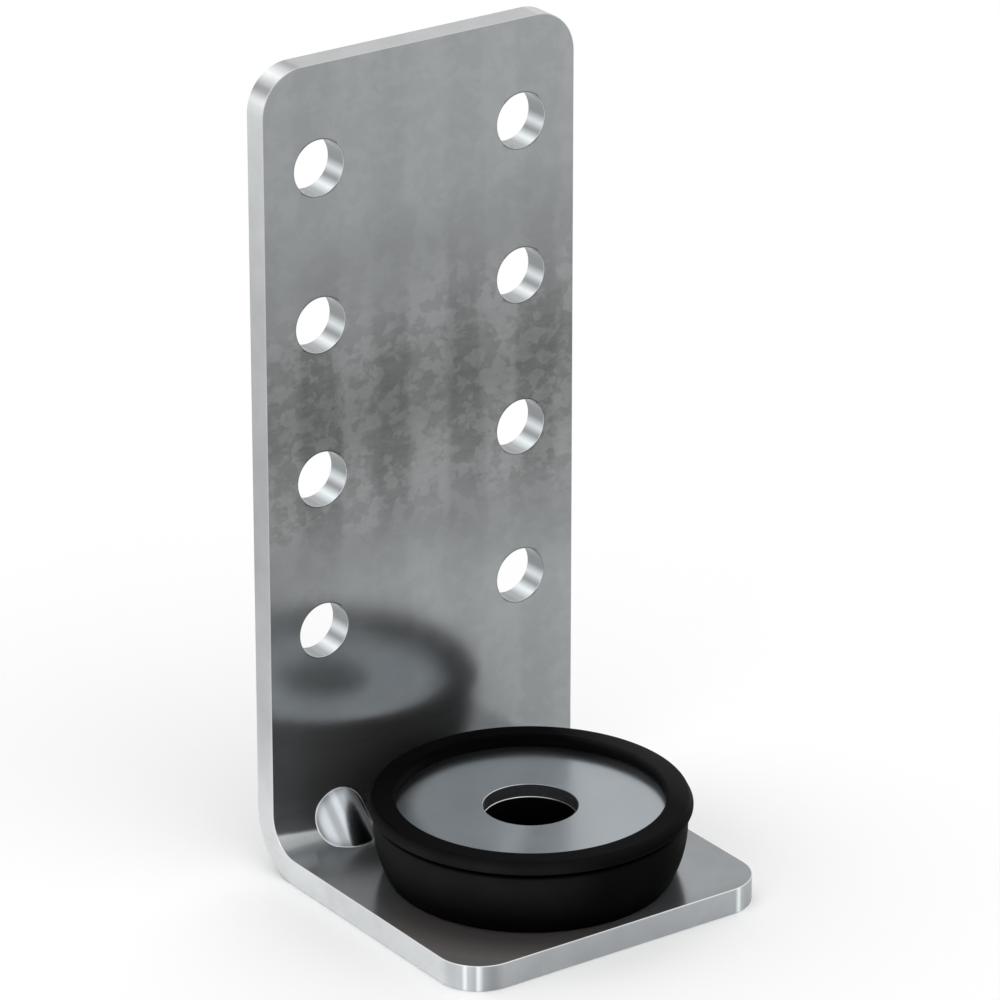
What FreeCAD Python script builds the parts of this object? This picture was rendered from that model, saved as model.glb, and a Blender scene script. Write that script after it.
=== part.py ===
import FreeCAD, Part
import math
import os

# Angle bracket folded from one strip of galvanised steel, with a rubber mount
# and its steel washer standing on the foot for a hanging rod.
# Millimetres. The origin is where the rod's axis meets the underside of the
# foot, +Z is up the leg, +Y points at the wall and +X runs across the strip.

# Strip and fold
STRIP_WIDTH = 40.0
SHEET = 3.0
LEG_HEIGHT = 92.0
FOOT_LENGTH = 40.0
INNER_BEND_RADIUS = 4.0
CORNER_RADIUS = 5.0
EDGE_BREAK = 0.15

# Screw holes in the leg, in as many rows as fit above the gussets
SCREW_HOLE_RADIUS = 3.1
SCREW_COLUMNS = 2
COLUMN_SPACING = 26.0
ROW_PITCH = 17.7
TOP_ROW_DROP = 11.6
LEAST_WEB = 4.0

# Gussets pressed into the bend, and the dents that they leave behind it
GUSSET_SPACING = 23.0
GUSSET_RADIUS = 3.9
GUSSET_RISE = 1.9
GUSSET_BLEND = 0.6
DENT_RADIUS = 2.0

# Rod through the foot
ROD_REACH = 23.3
ROD_BORE_RADIUS = 5.1

# Rubber mount
MOUNT_HEIGHT = 9.2
LIP_RADIUS = 17.6
LIP_HEIGHT = 1.45
BEVEL_WIDTH = 0.5
BEVEL_HEIGHT = 1.0
RIM_BREAK = 0.15
GROOVE_HEIGHT = 0.4
GROOVE_DEPTH = 0.75
BODY_RADIUS = 17.05
COLLAR_HEIGHT = 1.35
BARREL_RADIUS = 12.0
BASE_BREAK = 0.4
NECK_RADIUS = 8.0
NECK_CLEARANCE = 0.1

# Washer, snapped in under the rim
WASHER_RADIUS = 15.0
WASHER_THICKNESS = 1.6
WASHER_RECESS = 1.45
RIM_OVERLAP = 0.3
POCKET_CLEARANCE = 0.05

# Places that follow from the sizes
wall_face = ROD_REACH
leg_front = wall_face - SHEET
foot_tip = wall_face - FOOT_LENGTH
rim_top = SHEET + MOUNT_HEIGHT
washer_top = rim_top - WASHER_RECESS
washer_seat = washer_top - WASHER_THICKNESS
gusset_run = (INNER_BEND_RADIUS * (math.sqrt(2) - 1) + GUSSET_RISE) * math.sqrt(2)
lowest_row = SHEET + gusset_run + GUSSET_BLEND + LEAST_WEB + SCREW_HOLE_RADIUS
screw_rows = 1 + math.floor((LEG_HEIGHT - TOP_ROW_DROP - lowest_row) / ROW_PITCH)


def point(x, y, z):
    return FreeCAD.Vector(x, y, z)


def line(start, end):
    return Part.makeLine(start, end)


def arc_about(centre, radius, from_deg, to_deg):
    """Arc in the plane x = 0: y = cy + r cos a and z = cz + r sin a."""
    def at(angle):
        turn = math.radians(angle)
        return point(0, centre.y + radius * math.cos(turn), centre.z + radius * math.sin(turn))
    middle = (from_deg + to_deg) / 2
    return Part.Arc(at(from_deg), at(middle), at(to_deg)).toShape()


def folded_strip():
    """The strip's edge-on section, a square fold of even thickness, drawn out to its width."""
    bend_y = leg_front - INNER_BEND_RADIUS
    bend_z = SHEET + INNER_BEND_RADIUS
    bend = point(0, bend_y, bend_z)
    outer = INNER_BEND_RADIUS + SHEET
    section = Part.Wire([
        line(point(0, foot_tip, 0), point(0, bend_y, 0)),
        arc_about(bend, outer, -90, 0),
        line(point(0, wall_face, bend_z), point(0, wall_face, LEG_HEIGHT)),
        line(point(0, wall_face, LEG_HEIGHT), point(0, leg_front, LEG_HEIGHT)),
        line(point(0, leg_front, LEG_HEIGHT), point(0, leg_front, bend_z)),
        arc_about(bend, INNER_BEND_RADIUS, 0, -90),
        line(point(0, bend_y, SHEET), point(0, foot_tip, SHEET)),
        line(point(0, foot_tip, SHEET), point(0, foot_tip, 0)),
    ])
    strip = Part.Face(section).extrude(point(STRIP_WIDTH, 0, 0))
    strip.translate(point(-STRIP_WIDTH / 2, 0, 0))
    return strip


def round_corners(strip):
    """Rounds the two corners at the leg's top and the two at the foot's tip."""
    corners = []
    for edge in strip.Edges:
        middle = edge.CenterOfMass
        at_side = abs(abs(middle.x) - STRIP_WIDTH / 2) < 1e-6
        at_top = abs(middle.z - LEG_HEIGHT) < 1e-6
        at_tip = abs(middle.y - foot_tip) < 1e-6
        if at_side and (at_top or at_tip):
            corners.append(edge)
    return strip.makeFillet(CORNER_RADIUS, corners)


def inside_of_fold(reach):
    """All that lies on the inner side of the sheet's middle, out to reach from the bend."""
    middle_y = wall_face - SHEET / 2
    middle_z = SHEET / 2
    bend = point(0, leg_front - INNER_BEND_RADIUS, SHEET + INNER_BEND_RADIUS)
    top = point(0, middle_y, bend.z + reach)
    tip = point(0, bend.y - reach, middle_z)
    section = Part.Wire([
        line(top, point(0, middle_y, bend.z)),
        arc_about(bend, INNER_BEND_RADIUS + SHEET / 2, 0, -90),
        line(point(0, bend.y, middle_z), tip),
        line(tip, top),
    ])
    inside = Part.Face(section).extrude(point(STRIP_WIDTH, 0, 0))
    inside.translate(point(-STRIP_WIDTH / 2, 0, 0))
    return inside


def diagonal_bar(across, crest_run, radius):
    """A round bar at 45 degrees from leg to foot, whose crest leaves both inner faces
    crest_run away from the corner where they would meet."""
    into_corner = point(0, 1, -1).normalize()
    down_to_foot = point(0, -1, -1).normalize()
    middle = point(across, leg_front - crest_run / 2, SHEET + crest_run / 2) + into_corner * radius
    length = 2 * (crest_run + 2 * radius + 2 * SHEET)
    return Part.makeCylinder(radius, length, middle - down_to_foot * (length / 2), down_to_foot)


def press_gussets(strip):
    """Each gusset is a round bar's side standing out of the inner bend, with a narrower
    groove one sheet thickness behind it on the outside."""
    dent_run = gusset_run - SHEET * math.sqrt(2)
    for across in (-GUSSET_SPACING / 2, GUSSET_SPACING / 2):
        bar = diagonal_bar(across, gusset_run, GUSSET_RADIUS)
        strip = strip.fuse(bar.common(inside_of_fold(gusset_run + 2 * GUSSET_RADIUS)))
    strip = strip.removeSplitter()
    strip = blend_gussets(strip)
    for across in (-GUSSET_SPACING / 2, GUSSET_SPACING / 2):
        strip = strip.cut(diagonal_bar(across, dent_run, DENT_RADIUS))
    return strip


def blend_gussets(strip):
    """Fills the crease round each gusset with a small radius."""
    def is_bar(face):
        surface = face.Surface
        return isinstance(surface, Part.Cylinder) and abs(surface.Radius - GUSSET_RADIUS) < 1e-6
    creases = []
    for face in strip.Faces:
        if is_bar(face):
            creases.extend(face.Edges)
    return strip.makeFillet(GUSSET_BLEND, creases)


def drill(strip, radius, start, direction):
    """A round hole right through the sheet from a point on its surface."""
    return strip.cut(Part.makeCylinder(radius, 3 * SHEET, start - direction * SHEET, direction))


def screw_holes(strip):
    """Rows and columns of screw holes, centred across the leg and set out from its top."""
    through_leg = point(0, -1, 0)
    for row in range(screw_rows):
        height = LEG_HEIGHT - TOP_ROW_DROP - row * ROW_PITCH
        for column in range(SCREW_COLUMNS):
            across = (column - (SCREW_COLUMNS - 1) / 2) * COLUMN_SPACING
            start = point(across, wall_face, height)
            strip = drill(strip, SCREW_HOLE_RADIUS, start, through_leg)
    return strip


def break_edges(strip):
    """Takes the sharpness off every cut edge, on both skins of the sheet."""
    skins = [face for face in strip.Faces if face.BoundBox.XLength > STRIP_WIDTH - EDGE_BREAK]
    sharp = []
    for edge in strip.Edges:
        touching = [face for face in skins if any(edge.isSame(other) for other in face.Edges)]
        if len(touching) == 1:
            sharp.append(edge)
    return strip.makeChamfer(EDGE_BREAK, sharp)


def bracket():
    strip = round_corners(folded_strip())
    strip = screw_holes(strip)
    strip = drill(strip, NECK_RADIUS + NECK_CLEARANCE, point(0, 0, SHEET), point(0, 0, -1))
    strip = break_edges(strip)
    return press_gussets(strip)


def outline(corners):
    """Straight edges through the corners (radius, height) of a turned section."""
    return Part.makePolygon([point(radius, 0, height) for radius, height in corners])


def turned(section):
    """Turns a closed section about the rod's axis."""
    return Part.Face(section).revolve(point(0, 0, 0), point(0, 0, 1), 360)


def rubber_mount():
    """Neck, barrel-sided body, groove and bevelled lip, with a pocket for the washer."""
    lip_bottom = rim_top - LIP_HEIGHT
    collar_top = lip_bottom - GROOVE_HEIGHT
    barrel_top = collar_top - COLLAR_HEIGHT
    barrel_centre = BODY_RADIUS - BARREL_RADIUS
    barrel_base = SHEET + BASE_BREAK
    base_radius = barrel_centre + math.sqrt(BARREL_RADIUS ** 2 - (barrel_top - barrel_base) ** 2)
    halfway = (barrel_top + barrel_base) / 2
    halfway_radius = barrel_centre + math.sqrt(BARREL_RADIUS ** 2 - (barrel_top - halfway) ** 2)
    barrel = Part.Arc(
        point(base_radius, 0, barrel_base),
        point(halfway_radius, 0, halfway),
        point(BODY_RADIUS, 0, barrel_top),
    ).toShape()
    rim_inner = WASHER_RADIUS - RIM_OVERLAP
    pocket_radius = WASHER_RADIUS + POCKET_CLEARANCE
    pocket_top = washer_top + POCKET_CLEARANCE
    below_barrel = [
        (ROD_BORE_RADIUS, washer_seat),
        (ROD_BORE_RADIUS, 0),
        (NECK_RADIUS, 0),
        (NECK_RADIUS, SHEET),
        (base_radius - BASE_BREAK, SHEET),
        (base_radius, barrel_base),
    ]
    above_barrel = [
        (BODY_RADIUS, barrel_top),
        (BODY_RADIUS, collar_top),
        (BODY_RADIUS - GROOVE_DEPTH, collar_top),
        (BODY_RADIUS - GROOVE_DEPTH, lip_bottom),
        (LIP_RADIUS, lip_bottom),
        (LIP_RADIUS, rim_top - BEVEL_HEIGHT),
        (LIP_RADIUS - BEVEL_WIDTH, rim_top - RIM_BREAK),
        (LIP_RADIUS - BEVEL_WIDTH - RIM_BREAK, rim_top),
        (rim_inner + RIM_BREAK, rim_top),
        (rim_inner, rim_top - RIM_BREAK),
        (rim_inner, pocket_top),
        (pocket_radius, pocket_top),
        (pocket_radius, washer_seat),
        (ROD_BORE_RADIUS, washer_seat),
    ]
    section = Part.Wire(outline(below_barrel).Edges + [barrel] + outline(above_barrel).Edges)
    return turned(section)


def washer():
    """A flat ring stamped from sheet, with its edges broken."""
    return turned(outline([
        (ROD_BORE_RADIUS + EDGE_BREAK, washer_seat),
        (WASHER_RADIUS - EDGE_BREAK, washer_seat),
        (WASHER_RADIUS, washer_seat + EDGE_BREAK),
        (WASHER_RADIUS, washer_top - EDGE_BREAK),
        (WASHER_RADIUS - EDGE_BREAK, washer_top),
        (ROD_BORE_RADIUS + EDGE_BREAK, washer_top),
        (ROD_BORE_RADIUS, washer_top - EDGE_BREAK),
        (ROD_BORE_RADIUS, washer_seat + EDGE_BREAK),
        (ROD_BORE_RADIUS + EDGE_BREAK, washer_seat),
    ]))


os.makedirs("parts", exist_ok=True)
pieces = {
    "bracket": bracket(),
    "rubber_mount": rubber_mount(),
    "washer": washer(),
}
for name, piece in pieces.items():
    piece.exportStep(f"parts/{name}.step")
    print(name, piece.isValid(), len(piece.Solids), round(piece.Volume, 2))
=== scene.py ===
import math

import bpy
import numpy as np
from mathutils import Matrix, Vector


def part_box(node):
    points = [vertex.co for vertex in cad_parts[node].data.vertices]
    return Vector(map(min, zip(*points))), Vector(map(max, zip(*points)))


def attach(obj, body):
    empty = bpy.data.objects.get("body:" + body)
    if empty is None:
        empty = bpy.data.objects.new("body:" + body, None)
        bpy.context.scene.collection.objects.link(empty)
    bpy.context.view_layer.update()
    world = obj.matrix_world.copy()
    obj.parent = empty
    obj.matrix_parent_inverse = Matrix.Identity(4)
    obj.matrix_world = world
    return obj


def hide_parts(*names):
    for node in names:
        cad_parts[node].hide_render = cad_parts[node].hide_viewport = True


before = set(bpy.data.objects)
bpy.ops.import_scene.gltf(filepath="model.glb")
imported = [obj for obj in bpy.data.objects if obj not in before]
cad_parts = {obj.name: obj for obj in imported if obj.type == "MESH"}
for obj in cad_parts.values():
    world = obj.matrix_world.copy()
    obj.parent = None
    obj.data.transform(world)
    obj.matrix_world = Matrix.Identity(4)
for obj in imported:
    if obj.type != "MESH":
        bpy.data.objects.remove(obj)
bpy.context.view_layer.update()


# Angle bracket
# One strip of galvanised sheet, punched with eight screw holes for the wall and a large hole for
# the rubber, then folded square, with two gussets pressed into the bend to stiffen it.

# Sizes are in millimetres. The strip's reach is read from the part itself.
MM = 0.001
strip_low, strip_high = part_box("bracket")
HALF_WIDTH = strip_high.x / MM
WALL_FACE = strip_high.y / MM
FOOT_TIP = strip_low.y / MM
LEG_TOP = strip_high.z / MM
SHEET = 3.0
INNER_BEND_RADIUS = 4.0
CORNER_RADIUS = 5.0
EDGE_ROUND = 0.12
HOLE_ROUND = 0.05
SCREW_HOLE_RADIUS = 3.1
SCREW_COLUMN = 13.0
TOP_ROW_DROP = 11.6
ROW_PITCH = 17.7
FOOT_HOLE_RADIUS = 8.1
GUSSET_PLACE = 11.5
GUSSET_RADIUS = 3.9
GUSSET_RISE = 1.9
GUSSET_BLEND = 0.07
DENT_RADIUS = 2.0
DENT_BLEND = 0.2
TOOL_ROUND_SHARE = 0.9

# The blank is the strip before it is folded. A place on it is given by how far it is across from
# the strip's middle line, and how far along from the foot's tip, measured half a sheet deep.
leg_front = WALL_FACE - SHEET
bend_y = leg_front - INNER_BEND_RADIUS
bend_z = SHEET + INNER_BEND_RADIUS
bend_radius = INNER_BEND_RADIUS + SHEET / 2
foot_run = bend_y - FOOT_TIP
bend_run = bend_radius * math.pi / 2
blank_length = foot_run + bend_run + LEG_TOP - bend_z
gusset_run = (INNER_BEND_RADIUS * (math.sqrt(2) - 1) + GUSSET_RISE) * math.sqrt(2)
dent_run = gusset_run - SHEET * math.sqrt(2)
row_heights = LEG_TOP - TOP_ROW_DROP - ROW_PITCH * np.arange(3, -1, -1)
row_places = foot_run + bend_run + row_heights - bend_z


def fold_turn(along):
    """Angle turned so far round the bend: none on the foot, a quarter turn on the leg."""
    return np.clip((along - foot_run) / bend_radius, 0, math.pi / 2)


def folded(across, along, rise):
    """Carries the blank round the fold. The sheet's middle runs straight along the foot, round an
    arc through a quarter turn and straight up the leg, and the point stands off it by rise."""
    turn = fold_turn(along)
    straight = np.minimum(along - foot_run, 0) + np.maximum(along - foot_run - bend_run, 0)
    y = bend_y + (bend_radius - rise) * np.sin(turn) + straight * np.cos(turn)
    z = bend_z - (bend_radius - rise) * np.cos(turn) + straight * np.sin(turn)
    return np.stack([across + 0 * y, y, z], axis=-1)


def bar_height(offset, radius):
    """Side of a round bar over its axis: the circle's own height out to nine tenths of the radius,
    and from there a straight slope at the circle's angle."""
    rim = TOOL_ROUND_SHARE * radius
    round_part = np.minimum(np.abs(offset), rim)
    slope = rim / math.sqrt(radius ** 2 - rim ** 2)
    return np.sqrt(radius ** 2 - round_part ** 2) - slope * (np.abs(offset) - round_part)


def bar_offset(height, radius):
    """The offset at which a round bar's side has this height, the other way round."""
    rim = TOOL_ROUND_SHARE * radius
    rim_height = math.sqrt(radius ** 2 - rim ** 2)
    on_circle = np.sqrt((radius ** 2 - height ** 2).clip(0))
    return np.where(height > rim_height, on_circle, rim + (rim_height - height) * rim_height / rim)


def behind_bar(along, rise, radius, run):
    """How far a skin lies behind a gusset tool's axis, towards the fold's corner. The tool is a
    round bar at 45 degrees, and its crest leaves both inner faces run away from their corner."""
    skin = folded(0 * along, along, rise)
    middle_y = leg_front - run / 2 + radius / math.sqrt(2)
    middle_z = SHEET + run / 2 - radius / math.sqrt(2)
    return ((skin[..., 1] - middle_y) - (skin[..., 2] - middle_z)) / math.sqrt(2)


def bar_reach(across, along, rise, radius, run):
    """The way along a skin's normal from the skin to the tool's side, less than nothing where the
    tool doesn't get to it."""
    offset = np.abs(across) - GUSSET_PLACE
    reach = behind_bar(along, rise, radius, run) + bar_height(offset, radius)
    return reach / np.cos(fold_turn(along) - math.pi / 4)


def pressed(across, along, rise, radius, run, blend):
    """How far a gusset tool pushes a skin along its normal: its reach, never less than nothing,
    with a parabola of half width blend where it starts."""
    push = bar_reach(across, along, rise, radius, run)
    start = (np.clip(push, -blend, blend) + blend) ** 2 / (4 * blend)
    return np.where(push > blend, push, start)


def sheet_skin(across, along, side):
    """The folded sheet's inner skin (side +1) or outer skin (side -1), half a sheet from its
    middle, pushed by the gusset tools."""
    rise = side * SHEET / 2 + 0 * across
    if side > 0:
        push = pressed(across, along, rise, GUSSET_RADIUS, gusset_run, GUSSET_BLEND)
    else:
        push = pressed(across, along, rise, DENT_RADIUS, dent_run, DENT_BLEND)
    return folded(across, along, rise + push)


def unit(vectors):
    """Vectors divided by their own lengths."""
    return vectors / np.linalg.norm(vectors, axis=-1, keepdims=True)


def skin_normals(across, along, side):
    """Cross product of the skin's two slopes, each taken over a hundredth of a millimetre."""
    step = 0.01
    slope_across = sheet_skin(across + step, along, side) - sheet_skin(across - step, along, side)
    slope_along = sheet_skin(across, along + step, side) - sheet_skin(across, along - step, side)
    return side * unit(np.cross(slope_across, slope_along))


def even(start, end, steps):
    """Grid lines that divide a length into equal steps, without its last line."""
    return np.linspace(start, end, steps, endpoint=False)


def round_core(middle, half_side, steps):
    """Grid lines across a hole, at middle plus half_side times the tangent of equal angles, so
    that they meet the hole's circle at equal steps."""
    angles = np.linspace(-math.pi / 4, math.pi / 4, steps, endpoint=False)
    return middle + half_side * np.tan(angles)


# The mesh is a grid over the blank. A square or oblong patch of it is drawn in round each hole, and
# another to the outline of each gusset. A patch, and the core that is cut out of it, are given by
# their half sides. The ring of the grid along a gusset's crease starts on a line of the grid that
# crosses the screw holes' cores, so that both can use it.
HOLE_PATCH = 5.5
HOLE_CORE = 2.0
FOOT_PATCH = 11.7
hole_place = -FOOT_TIP
patch_in = SCREW_COLUMN - HOLE_PATCH
patch_out = SCREW_COLUMN + HOLE_PATCH
foot_core = patch_in / patch_out
GUSSET_PATCH_ACROSS = 4.0
GUSSET_PATCH_ALONG = 6.32
CREASE_LINE_ANGLE = math.radians(33.75)
CREASE_SEARCH_MARGIN = 4.0
CREASE_SEARCH_STEPS = 4001
RIM_CROWDING = 1.5
CREASE_CROWDING = 1.8
TINY = 1e-9
LINE_SLACK = 1e-6
gusset_middle = foot_run + bend_run / 2
gusset_start = gusset_middle - GUSSET_PATCH_ALONG
gusset_end = gusset_middle + GUSSET_PATCH_ALONG
crease_line = SCREW_COLUMN + HOLE_CORE * math.tan(CREASE_LINE_ANGLE) - GUSSET_PLACE
crease_share = crease_line / GUSSET_PATCH_ACROSS
crease_margin = GUSSET_PATCH_ALONG * (1 - crease_share)

half_lines = np.concatenate([
    even(0, patch_in, 12),
    even(patch_in, GUSSET_PLACE - crease_line, 5),
    even(GUSSET_PLACE - crease_line, SCREW_COLUMN - HOLE_CORE, 9),
    round_core(SCREW_COLUMN, HOLE_CORE, 16),
    even(SCREW_COLUMN + HOLE_CORE, patch_out, 14),
    np.linspace(patch_out, HALF_WIDTH - EDGE_ROUND, 5),
])
across_lines = np.concatenate([-half_lines[:0:-1], half_lines])

foot_lines = np.concatenate([
    even(EDGE_ROUND, CORNER_RADIUS, 12),
    even(CORNER_RADIUS, hole_place - FOOT_PATCH * foot_core, 8),
    even(hole_place - FOOT_PATCH * foot_core, hole_place + FOOT_PATCH * foot_core, 16),
    even(hole_place + FOOT_PATCH * foot_core, hole_place + FOOT_PATCH, 8),
    even(hole_place + FOOT_PATCH, gusset_start, 2),
    even(gusset_start, gusset_start + crease_margin, 5),
    even(gusset_start + crease_margin, gusset_end - crease_margin, 32),
    even(gusset_end - crease_margin, gusset_end, 5),
    even(gusset_end, row_places[0] - HOLE_PATCH, 5),
])
row_lines = np.concatenate([
    even(-HOLE_PATCH, -HOLE_CORE, 6),
    round_core(0, HOLE_CORE, 16),
    even(HOLE_CORE, HOLE_PATCH, 6),
    even(HOLE_PATCH, ROW_PITCH - HOLE_PATCH, 3),
])
leg_lines = (row_places[:, None] + row_lines).ravel()[:-3]
top_lines = np.concatenate([
    even(row_places[-1] + HOLE_PATCH, blank_length - CORNER_RADIUS, 1),
    np.linspace(blank_length - CORNER_RADIUS, blank_length - EDGE_ROUND, 13),
])
along_lines = np.concatenate([foot_lines, leg_lines, top_lines])


def rounded_corner(across, along):
    """Draws the square grid in each corner in to a quarter disc: a point at shares u and v of the
    corner's radius keeps its direction and takes the larger share as its distance."""
    reach = CORNER_RADIUS - EDGE_ROUND
    u = (np.abs(across) - HALF_WIDTH + CORNER_RADIUS) / reach
    v = (np.abs(along - blank_length / 2) - blank_length / 2 + CORNER_RADIUS) / reach
    corner = (u > 0) & (v > 0)
    scale = np.where(corner, np.maximum(u, v) / np.hypot(u, v).clip(TINY), 1)
    moved_across = across + np.sign(across) * u * (scale - 1) * reach
    moved_along = along + np.sign(along - blank_length / 2) * v * (scale - 1) * reach
    return moved_across, moved_along


def punched(across, along, hole):
    """Draws a patch of the grid in round a hole. u and v are shares of the patch's half sides and m
    is the larger one. Rings of the grid, with m from the core's share to 1, change from the
    hole's circle to the patch's own rectangle, and crowd up to the circle."""
    middle_x, middle_s, half_x, half_s, core, radius = hole
    u = (across - middle_x) / half_x
    v = (along - middle_s) / half_s
    m = np.maximum(np.abs(u), np.abs(v))
    ring = (m <= 1 + TINY) & (m >= core - TINY)
    share = ((m - core) / (1 - core)).clip(0) ** RIM_CROWDING
    length = np.hypot(u, v).clip(TINY)
    edge = m.clip(TINY)
    new_across = middle_x + (1 - share) * radius * u / length + share * half_x * u / edge
    new_along = middle_s + (1 - share) * radius * v / length + share * half_s * v / edge
    return np.where(ring, new_across, across), np.where(ring, new_along, along)


def drawn_to_crease(across, along, side):
    """Draws a patch of the grid in to the outline that a gusset tool leaves on one skin, so that
    a ring of grid lines runs along the crease. The outline goes round as (offset of the bar's
    side at the skin's depth, half its length times sin a). Rings inside it are shares of it,
    rings outside it go over to the patch's rectangle, and both crowd up to the crease."""
    radius, run = (GUSSET_RADIUS, gusset_run) if side > 0 else (DENT_RADIUS, dent_run)
    rise = side * SHEET / 2
    search_start = gusset_start - CREASE_SEARCH_MARGIN
    samples = np.linspace(search_start, gusset_middle, CREASE_SEARCH_STEPS)
    end = np.interp(0, behind_bar(samples, rise, radius, run) + radius, samples)
    half_length = gusset_middle - end
    u = (np.abs(across) - GUSSET_PLACE) / GUSSET_PATCH_ACROSS
    v = (along - gusset_middle) / GUSSET_PATCH_ALONG
    m = np.maximum(np.abs(u), np.abs(v))
    length = np.hypot(u, v).clip(TINY)
    crease_along = half_length * v / length
    depth = -behind_bar(gusset_middle + crease_along, rise, radius, run)
    crease_across = np.sign(u) * bar_offset(depth, radius)
    inner = 1 - (1 - m / crease_share).clip(0) ** CREASE_CROWDING
    outer = ((m - crease_share) / (1 - crease_share)).clip(0) ** CREASE_CROWDING
    edge = m.clip(TINY)
    rest_across = GUSSET_PATCH_ACROSS * u / edge - crease_across
    rest_along = GUSSET_PATCH_ALONG * v / edge - crease_along
    patch = m < 1 - TINY
    new_across = GUSSET_PLACE + inner * crease_across + outer * rest_across
    new_along = gusset_middle + inner * crease_along + outer * rest_along
    return np.where(patch, np.sign(across) * new_across, across), np.where(patch, new_along, along)


screw_holes = [
    (side * SCREW_COLUMN, place, HOLE_PATCH, HOLE_PATCH, HOLE_CORE / HOLE_PATCH,
     SCREW_HOLE_RADIUS + HOLE_ROUND)
    for side in (-1, 1) for place in row_places
]
foot_hole = (0.0, hole_place, patch_out, FOOT_PATCH, foot_core, FOOT_HOLE_RADIUS + HOLE_ROUND)
holes = screw_holes + [foot_hole]

grid_across, grid_along = np.meshgrid(across_lines, along_lines, indexing="ij")
cell_across = (across_lines[1:] + across_lines[:-1])[:, None] / 2
cell_along = (along_lines[1:] + along_lines[:-1])[None, :] / 2
metal = np.ones((len(across_lines) - 1, len(along_lines) - 1), bool)
blank_across, blank_along = rounded_corner(grid_across, grid_along)
for hole in holes:
    blank_across, blank_along = punched(blank_across, blank_along, hole)
    middle_x, middle_s, half_x, half_s, core, radius = hole
    core_across = np.abs(cell_across - middle_x) < core * half_x
    core_along = np.abs(cell_along - middle_s) < core * half_s
    metal &= ~(core_across & core_along)


def ring_of(first, last, start, end):
    """Numbers of the grid points round a rectangle of cells, in order, each once."""
    rows = np.concatenate([
        np.arange(first, last), np.full(end - start, last),
        np.arange(last, first, -1), np.full(end - start, first),
    ])
    columns = np.concatenate([
        np.full(last - first, start), np.arange(start, end),
        np.full(last - first, end), np.arange(end, start, -1),
    ])
    return rows * len(along_lines) + columns


def cells(numbers):
    """Four corners of each cell of a grid of point numbers, going round the cell."""
    return np.stack([numbers[:-1, :-1], numbers[1:, :-1], numbers[1:, 1:], numbers[:-1, 1:]], axis=-1)


QUARTER_STEPS = 4


def edge_wall(loop, away, first_number, rounding, in_hole):
    """The cut edge between the two skins: a quarter round off the inner skin, the straight wall and
    a quarter round on to the outer skin. A point at angle a of a quarter lies rounding times
    sin a beyond the skin's rim, and its rise falls short of the skin's by rounding (1 - cos a).
    For the finish, each point also tells how much of it is wall, arris and hole, and its depth."""
    angles = np.linspace(0, math.pi / 2, QUARTER_STEPS + 1)[1:]
    angle = np.concatenate([angles, angles[::-1]])[:, None]
    side = np.repeat([1.0, -1.0], QUARTER_STEPS)[:, None]
    rim_across = blank_across.ravel()[loop]
    rim_along = blank_along.ravel()[loop]
    across = rim_across + away[:, 0] * rounding * np.sin(angle)
    along = rim_along + away[:, 1] * rounding * np.sin(angle)
    rise = side * (SHEET / 2 - rounding * (1 - np.cos(angle)))
    points = folded(across, along, rise)
    turn = fold_turn(along)
    sheet_normal = np.stack([0 * turn, -np.sin(turn), np.cos(turn)], axis=-1)
    sheet_run = np.stack([0 * turn, np.cos(turn), np.sin(turn)], axis=-1)
    outward = away[:, 1, None] * sheet_run
    outward[..., 0] += away[:, 0]
    tilt = angle[..., None]
    normals = side[..., None] * np.cos(tilt) * sheet_normal + np.sin(tilt) * outward
    own = first_number + np.arange(across.size).reshape(across.shape)
    numbers = np.concatenate([loop[None, :], own, loop[None, :] + blank_across.size])
    numbers = np.concatenate([numbers, numbers[:, :1]], axis=1)
    wall = np.sin(angle) + 0 * rim_across
    arris = np.sin(2 * angle) + 0 * rim_across
    edge = np.stack([wall, arris, in_hole + 0 * wall], axis=-1).reshape(-1, 3)
    shading_marks = np.stack([0 * wall, 0 * wall, (1 - side) / 2 + 0 * wall], axis=-1).reshape(-1, 3)
    faces = cells(numbers).reshape(-1, 4)
    return points.reshape(-1, 3), normals.reshape(-1, 3), faces, edge, outward.reshape(-1, 3), shading_marks


# Each point carries marks for the finish. A gusset gets painted shade along its crease, a painted
# dark reflection on its side to the rubber, and a thin painted highlight on the crease itself.
# Widths are in millimetres.
CREASE_SHADE = 0.55
CREASE_SHADE_WIDTH = 0.5
RUBBER_SIDE_SHADE = 0.82
RUBBER_SIDE_START = 0.2
RUBBER_SIDE_WIDTH = 1.2
CREASE_HIGHLIGHT = 0.85
CREASE_HIGHLIGHT_LOST_TO_SHADE = 0.6
CREASE_HIGHLIGHT_WIDTH = 0.065
GUSSET_EDGE_WIDTH = 0.1

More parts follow.
